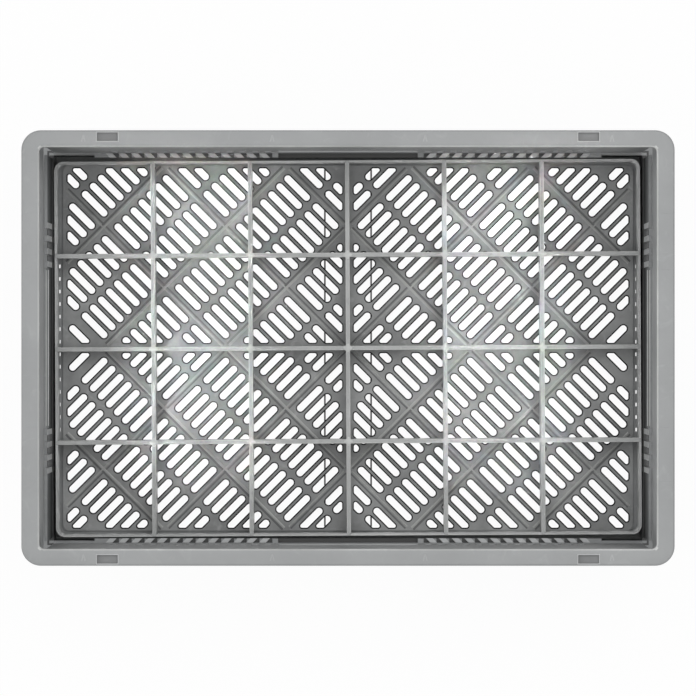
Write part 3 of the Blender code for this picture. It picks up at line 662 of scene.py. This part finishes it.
RIB_PLACES = (-150.0 * MM, -90.0 * MM, 90.0 * MM, 150.0 * MM)
RIB_X = (284.9 * MM, 298.4 * MM)
RIB_HALF = 1.25 * MM
RIB_LOW = 172.0 * MM
RIB_TOP = 207.5 * MM
EAR_PLACES = (-200.0 * MM, 0.0, 200.0 * MM)
EAR_HALF = 7.0 * MM
EAR_RADIUS = 3.3 * MM
EAR_STEPS = 8
EAR_TOP = 207.5 * MM
TOP_HINGE = (188.4 * MM, 198.0 * MM)
FLOW_MARKS_SIDE = (-243.0 * MM, -69.7 * MM, 70.8 * MM, 242.5 * MM)
FLOW_SIDE_Y = 192.5 * MM
FLOW_SIDE_HALF = (1.6 * MM, 3.0 * MM)
FLOW_SIDE_HEIGHT = 0.12 * MM
FLOW_SIDE_WIDTH = 1.4 * MM
FLOW_MARKS_END = (-122.0 * MM, -72.5 * MM, 72.6 * MM, 124.0 * MM)
FLOW_END_X = (286.0 * MM, 298.0 * MM)
FLOW_END_HEIGHT = 0.08 * MM
FLOW_END_WIDTH = 1.2 * MM
RIM_SHARP = math.radians(35)
POCKET, BORDER, EDGE, SKIRT, FLOW = range(1, 6)
BORDER_LOW = 209.55 * MM
BORDER_AREA = 60.0 * MM * MM
POCKET_LOW = POCKET_FLOOR - 0.1 * MM
POCKET_TOP = 209.2 * MM
# The faces along the opening's upper edge take the light edge paint: a painted highlight.
EDGE_LOW = 208.3 * MM
EDGE_HALF = (284.6 * MM, 185.5 * MM)
SKIRT_FACE = 284.0 * MM
FLOW_LOW = FLANGE_TOP + 0.005 * MM


def rim_loop(bm, inset, height, inner=False):
    """One closed line round the rim, measured in from its outer outline or out from its opening."""
    half_x, half_y = OPENING_HALF if inner else RIM_HALF
    radius = OPENING_CORNER if inner else RIM_CORNER
    way = 1 if inner else -1
    points = rounded(half_x + way * inset, half_y + way * inset, radius + way * inset, CORNER_STEPS)
    corners = []
    for x, y in points:
        bow = 0.0 if inner else RIM_BOW * max(0.0, 1 - (x / BOW_HALF) ** 2)
        corners.append(bm.verts.new((x, y - math.copysign(bow, y), height)))
    return corners


def block(bm, x0, x1, y0, y1, z0, z1):
    """A plain rib or plate of the moulding."""
    made = bmesh.ops.create_cube(bm, size=1.0)["verts"]
    for v in made:
        v.co = (x0 if v.co.x < 0 else x1, y0 if v.co.y < 0 else y1, z0 if v.co.z < 0 else z1)


def cut(target, cutter_mesh):
    """Take the cutter's shapes out of the target for good."""
    cutter = mesh_piece("cutter", cutter_mesh)
    step = target.modifiers.new("cut", "BOOLEAN")
    step.operation = "DIFFERENCE"
    step.solver = "EXACT"
    step.object = cutter
    graph = bpy.context.evaluated_depsgraph_get()
    mesh = bpy.data.meshes.new_from_object(target.evaluated_get(graph))
    target.modifiers.clear()
    target.data = mesh
    bpy.data.objects.remove(cutter, do_unlink=True)


frame_low, frame_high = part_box("top_frame")
rim_mesh = bmesh.new()
loops = [rim_loop(rim_mesh, inset * MM, z * MM) for inset, z in OUTER_SECTION]
loops += [rim_loop(rim_mesh, inset * MM, z * MM, True) for inset, z in OPENING_SECTION]
loops += [rim_loop(rim_mesh, inset * MM, z * MM) for inset, z in APRON_SECTION]
for i in range(len(loops)):
    wall(rim_mesh, loops[i], loops[(i + 1) % len(loops)], 0)
rim = mesh_piece("stacking_rim", rim_mesh)
pocket_mesh = bmesh.new()
for sx in (-1, 1):
    for sy in (-1, 1):
        x0, y0 = sx * POCKET_X, sy * POCKET_Y
        hx, hy = POCKET_HALF
        block(pocket_mesh, x0 - hx, x0 + hx, y0 - hy, y0 + hy, POCKET_FLOOR, frame_high.z + POCKET_CUT)
cut(rim, pocket_mesh)
rim_mesh = bmesh.new()
rim_mesh.from_mesh(rim.data)
bpy.data.objects.remove(rim, do_unlink=True)
for sx in (-1, 1):
    x0, x1 = sorted(sx * x for x in SKIRT_X)
    block(rim_mesh, x0, x1, -SKIRT_HALF, SKIRT_HALF, frame_low.z, SKIRT_TOP)
    x0, x1 = sorted(sx * x for x in GRIP_X)
    grip_low, grip_high = frame_low.z + GRIP_RISE[0], frame_low.z + GRIP_RISE[1]
    block(rim_mesh, x0, x1, -GRIP_HALF, GRIP_HALF, grip_low, grip_high)
    x0, x1 = sorted(sx * x for x in RIB_X)
    for y in RIB_PLACES:
        block(rim_mesh, x0, x1, y - RIB_HALF, y + RIB_HALF, RIB_LOW, RIB_TOP)
for sy in (-1, 1):
    for x in EAR_PLACES:
        hinge_y = sy * TOP_HINGE[0]
        profile = arc(hinge_y, TOP_HINGE[1], EAR_RADIUS, 180, 360, EAR_STEPS)
        profile += [(hinge_y + EAR_RADIUS, EAR_TOP), (hinge_y - EAR_RADIUS, EAR_TOP)]
        near = [rim_mesh.verts.new((x - EAR_HALF, y, z)) for y, z in profile]
        far_end = [rim_mesh.verts.new((x + EAR_HALF, y, z)) for y, z in profile]
        wall(rim_mesh, near, far_end, 0)
        rim_mesh.faces.new(near)
        rim_mesh.faces.new(far_end[::-1])
    for sx in (-1, 1):
        x0, y0 = sx * POCKET_X, sy * POCKET_Y
        border_lines = []
        for grow, z in BORDER_SECTION:
            outline = rounded(POCKET_HALF[0] + grow, POCKET_HALF[1] + grow, BORDER_CORNER, 3)
            border_lines.append([rim_mesh.verts.new((x0 + x, y0 + y, z * MM)) for x, y in outline])
        for i in range(len(border_lines)):
            wall(rim_mesh, border_lines[i], border_lines[(i + 1) % len(border_lines)], 0)
    for x in FLOW_MARKS_SIDE:
        near_y, far_y = sy * FLOW_SIDE_Y - FLOW_SIDE_HALF[1], sy * FLOW_SIDE_Y + FLOW_SIDE_HALF[1]
        for foot in (x - FLOW_SIDE_HALF[0], x + FLOW_SIDE_HALF[0]):
            ridge(rim_mesh, (foot, near_y), (x, far_y), FLANGE_TOP, FLOW_SIDE_HEIGHT, FLOW_SIDE_WIDTH)
for sx in (-1, 1):
    for y in FLOW_MARKS_END:
        start, stop = (sx * FLOW_END_X[0], y), (sx * FLOW_END_X[1], y)
        ridge(rim_mesh, start, stop, FLANGE_TOP, FLOW_END_HEIGHT, FLOW_END_WIDTH)
rim = mesh_piece("stacking_rim", rim_mesh)
rim.data.shade_smooth()
rim.data.set_sharp_from_angle(angle=RIM_SHARP)
rim_paint = moulded_plastic("rim_polypropylene", RIM_GREY, RIM_CLOUD, 0.4, 0.1, 0.25)
pocket_shade_paint = moulded_plastic("pocket_floor_shaded", POCKET_SHADE_GREY, POCKET_SHADE_CLOUD, 0.5, 0.15, 0.3)
lit_border_paint = moulded_plastic("pocket_border_lit", BORDER_LIT_GREY, BORDER_LIT_CLOUD, 0.35, 0.05, 0.2)
lit_skirt_paint = moulded_plastic("skirt_polypropylene_lit", SKIRT_LIT_GREY, SKIRT_LIT_CLOUD, 0.42, 0.1, 0.3)
flow_sheen_paint = moulded_plastic("flow_mark_sheen", FLOW_SHEEN_GREY, FLOW_SHEEN_CLOUD, 0.35, 0.05, 0.2)
rim.data.materials.clear()
for paint in (rim_paint, pocket_shade_paint, lit_border_paint, highlight_paint, lit_skirt_paint, flow_sheen_paint):
    rim.data.materials.append(paint)
for face in rim.data.polygons:
    x, y, z = face.center
    near_pocket_x = abs(abs(x) - POCKET_X) < POCKET_HALF[0] + POCKET_BORDER
    near_pocket_y = abs(abs(y) - POCKET_Y) < POCKET_HALF[1] + POCKET_BORDER
    # Pocket floors take the darker paint (painted shade) and the border tops the lighter one (painted
    # highlight).
    if near_pocket_x and near_pocket_y:
        if z > BORDER_LOW and face.area < BORDER_AREA:
            face.material_index = BORDER
        elif POCKET_LOW < z < POCKET_TOP:
            face.material_index = POCKET
    # The opening's upper edge gets the light edge paint: a painted highlight.
    elif z > EDGE_LOW and abs(x) < EDGE_HALF[0] and abs(y) < EDGE_HALF[1]:
        face.material_index = EDGE
    # Inward faces of the end skirts take the lighter paint: painted light.
    elif face.normal.x * x < FACING_IN * abs(x) and abs(x) < SKIRT_FACE:
        face.material_index = SKIRT
    # The flow-mark ridges take a lighter paint: a painted sheen on real marks.
    elif z > FLOW_LOW and abs(x) < BOW_HALF:
        face.material_index = FLOW
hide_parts("top_frame")
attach(rim, "frame")


# The divider set is loose: eight slotted strips lock together and sit in a thin hoop with round corners.
# It is moulded from a glossier polypropylene than the crate and lifts straight out.
STRIP_GREY = (0.275, 0.282, 0.28)
STRIP_CLOUD = (0.375, 0.382, 0.38)
# The hoop is painted lighter than the strips of the same moulding: painted light.
HOOP_LIT_GREY = (0.4, 0.407, 0.404)
HOOP_LIT_CLOUD = (0.56, 0.567, 0.564)
SET_TURN = math.radians(0.3)
SET_HALF = (277.7 * MM, 178.0 * MM)
STRIP_PITCH = (92.167 * MM, 88.4 * MM)
STRIP_HALF = 2.0 * MM
STRIP_EDGE = 0.4 * MM
CROSS_STRIPS = (-2, -1, 0, 1, 2)
LONG_STRIPS = (-1, 0, 1)
HOOP_RADIUS = 9.0 * MM
BEAD_END = [half - 2.7 * MM for half in SET_HALF]
BEAD_WIDTH = 0.9 * MM
BEAD_HEIGHT = 0.3 * MM
BOSS_HALF = 3.3 * MM
BOSS_CORNER = 1.0 * MM
BOSS_RINGS = ((1.0, 0.0), (0.85, BEAD_HEIGHT * 0.9))
HOOP_SECTION = (
    (0.0, 9.3), (0.0, 50.3), (0.3, 50.9), (0.75, 51.0), (1.2, 50.7),
    (1.65, 51.0), (2.1, 50.9), (2.4, 50.3), (2.4, 9.3),
)
HOOP_SHARP = math.radians(50)
strip_paint = moulded_plastic("divider_polypropylene", STRIP_GREY, STRIP_CLOUD, 0.26, 0.04, 0.4)
for node in nodes:
    if node.startswith(("long_strip", "cross_strip")):
        soften(nodes[node], strip_paint, STRIP_EDGE)
strip_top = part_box("cross_strip_3")[1].z


def turned(x, y):
    """A point of the divider set, with the slight turn at which the loose set lies in the crate."""
    c, s = math.cos(SET_TURN), math.sin(SET_TURN)
    return Vector((x * c - y * s, x * s + y * c))


# The beads on the divider tops carry the light edge paint: a painted highlight.
bead_mesh = bmesh.new()
for side in (-1, 1):
    edge = side * (STRIP_HALF - BEAD_WIDTH / 2)
    for i in LONG_STRIPS:
        y = i * STRIP_PITCH[1] + edge
        start, stop = turned(-BEAD_END[0], y), turned(BEAD_END[0], y)
        ridge(bead_mesh, start, stop, strip_top, BEAD_HEIGHT, BEAD_WIDTH)
    for i in CROSS_STRIPS:
        x = i * STRIP_PITCH[0] + edge
        start, stop = turned(x, -BEAD_END[1]), turned(x, BEAD_END[1])
        ridge(bead_mesh, start, stop, strip_top, BEAD_HEIGHT, BEAD_WIDTH)
for i in CROSS_STRIPS:
    for j in LONG_STRIPS:
        x0, y0 = i * STRIP_PITCH[0], j * STRIP_PITCH[1]
        rings = []
        for share, height in BOSS_RINGS:
            outline = rounded(BOSS_HALF * share, BOSS_HALF * share, BOSS_CORNER, 3)
            spun = [turned(x0 + (x - y) * ROOT_HALF, y0 + (x + y) * ROOT_HALF) for x, y in outline]
            rings.append([bead_mesh.verts.new((p.x, p.y, strip_top + height)) for p in spun])
        wall(bead_mesh, rings[0], rings[1], 0)
        bead_mesh.faces.new(rings[1])
        bead_mesh.faces.new(rings[0][::-1])
beads = mesh_piece("divider_beads", bead_mesh)
beads.data.set_sharp_from_angle(angle=SHARP_ANGLE)
beads.data.materials.append(highlight_paint)
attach(beads, "dividers")

hoop_mesh = bmesh.new()
lines = []
for inset, z in HOOP_SECTION:
    back = inset * MM
    outline = rounded(SET_HALF[0] - back, SET_HALF[1] - back, HOOP_RADIUS - back, CORNER_STEPS)
    lines.append([hoop_mesh.verts.new((*turned(x, y), z * MM)) for x, y in outline])
for i in range(len(lines)):
    wall(hoop_mesh, lines[i], lines[(i + 1) % len(lines)], 0)
hoop = mesh_piece("divider_hoop", hoop_mesh)
hoop.data.shade_smooth()
hoop.data.set_sharp_from_angle(angle=HOOP_SHARP)
lit_hoop_paint = moulded_plastic("hoop_polypropylene_lit", HOOP_LIT_GREY, HOOP_LIT_CLOUD, 0.2, 0.03, 0.5)
hoop.data.materials.append(lit_hoop_paint)
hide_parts("front_hoop_side", "back_hoop_side", "left_hoop_side", "right_hoop_side")
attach(hoop, "dividers")


# The studio is a pale sheet that runs on past the picture, one wide soft lamp overhead and a weaker
# one from the left. Two narrow lamps light a pool on each half of the crate's floor.
# The camera hangs straight above the crate.
SHEET_SIZE = 12.0
SHEET_DROP = 0.5 * MM
SHEET_WHITE = (0.86, 0.86, 0.86)
SHEET_SHADOW = 0.05
AIR_LIGHT = 0.55
CAMERA_ABOVE_RIM = 5.0
PICTURE_WIDTH = 0.639
SENSOR = 36.0
LAMPS = (
    ("overhead_lamp", (0.3, 0.5, 2.6), (0.0, 0.0, 0.1), (2.4, 2.4), 38.0, 180.0),
    ("side_lamp", (-2.2, -0.4, 1.6), (0.0, 0.0, 0.1), (1.4, 1.4), 12.0, 180.0),
    ("left_pool_lamp", (-0.61, 0.025, 2.2), (-0.139, 0.025, 0.01), (0.29, 0.115), 0.095, 2.0),
    ("right_pool_lamp", (0.61, 0.025, 2.2), (0.139, 0.025, 0.01), (0.29, 0.115), 0.1, 2.0),
)


def show_white(tree, shadow_share):
    """White to the eye and in reflections, with a share of the real shaded surface kept."""
    path = tree.nodes.new("ShaderNodeLightPath")
    either = tree.nodes.new("ShaderNodeMath")
    either.operation = "MAXIMUM"
    tree.links.new(path.outputs["Is Camera Ray"], either.inputs[0])
    tree.links.new(path.outputs["Is Glossy Ray"], either.inputs[1])
    every = tree.nodes.new("ShaderNodeMath")
    every.operation = "MAXIMUM"
    tree.links.new(either.outputs[0], every.inputs[0])
    tree.links.new(path.outputs["Is Transmission Ray"], every.inputs[1])
    share = tree.nodes.new("ShaderNodeMath")
    share.operation = "MULTIPLY"
    share.inputs[1].default_value = 1.0 - shadow_share
    tree.links.new(every.outputs[0], share.inputs[0])
    return share.outputs[0]


sheet_mesh = bmesh.new()
bmesh.ops.create_grid(sheet_mesh, x_segments=2, y_segments=2, size=SHEET_SIZE / 2)
sheet = mesh_piece("studio_floor", sheet_mesh)
sheet.location.z = -SHEET_DROP
sheet_paint = bpy.data.materials.new("studio_white")
sheet_paint.use_nodes = True
sheet_tree = sheet_paint.node_tree
sheet_shader = sheet_tree.nodes["Principled BSDF"]
sheet_shader.inputs["Base Color"].default_value = (*SHEET_WHITE, 1.0)
sheet_shader.inputs["Roughness"].default_value = 0.9
sheet_glow = sheet_tree.nodes.new("ShaderNodeEmission")
sheet_glow.inputs["Strength"].default_value = 1.0
sheet_mix = sheet_tree.nodes.new("ShaderNodeMixShader")
sheet_tree.links.new(show_white(sheet_tree, SHEET_SHADOW), sheet_mix.inputs[0])
sheet_tree.links.new(sheet_shader.outputs[0], sheet_mix.inputs[1])
sheet_tree.links.new(sheet_glow.outputs[0], sheet_mix.inputs[2])
sheet_tree.links.new(sheet_mix.outputs[0], sheet_tree.nodes["Material Output"].inputs["Surface"])
sheet.data.materials.append(sheet_paint)

world = bpy.data.worlds.new("studio_air")
bpy.context.scene.world = world
world.use_nodes = True
world_tree = world.node_tree
air = world_tree.nodes["Background"]
air.inputs["Color"].default_value = (1.0, 1.0, 1.0, 1.0)
air.inputs["Strength"].default_value = AIR_LIGHT
clear_air = world_tree.nodes.new("ShaderNodeBackground")
clear_air.inputs["Strength"].default_value = 1.0
air_mix = world_tree.nodes.new("ShaderNodeMixShader")
world_tree.links.new(show_white(world_tree, 0.0), air_mix.inputs[0])
world_tree.links.new(air.outputs[0], air_mix.inputs[1])
world_tree.links.new(clear_air.outputs[0], air_mix.inputs[2])
world_tree.links.new(air_mix.outputs[0], world_tree.nodes["World Output"].inputs["Surface"])

for name, place, aim, size, power, spread in LAMPS:
    lamp_data = bpy.data.lights.new(name, "AREA")
    lamp_data.shape = "RECTANGLE"
    lamp_data.size, lamp_data.size_y = size
    lamp_data.energy = power
    lamp_data.spread = math.radians(spread)
    lamp = bpy.data.objects.new(name, lamp_data)
    lamp.location = place
    lamp.rotation_euler = (Vector(aim) - Vector(place)).to_track_quat("-Z", "Y").to_euler()
    bpy.context.scene.collection.objects.link(lamp)

camera_data = bpy.data.cameras.new("overhead_camera")
camera_data.sensor_width = SENSOR
camera_data.lens = SENSOR * CAMERA_ABOVE_RIM / PICTURE_WIDTH
camera_data.clip_end = 50.0
camera = bpy.data.objects.new("overhead_camera", camera_data)
camera.location = (0.0, 0.0, cad_box[1][2] + CAMERA_ABOVE_RIM)
bpy.context.scene.collection.objects.link(camera)
bpy.context.scene.camera = camera
bpy.context.scene.view_settings.view_transform = "Standard"
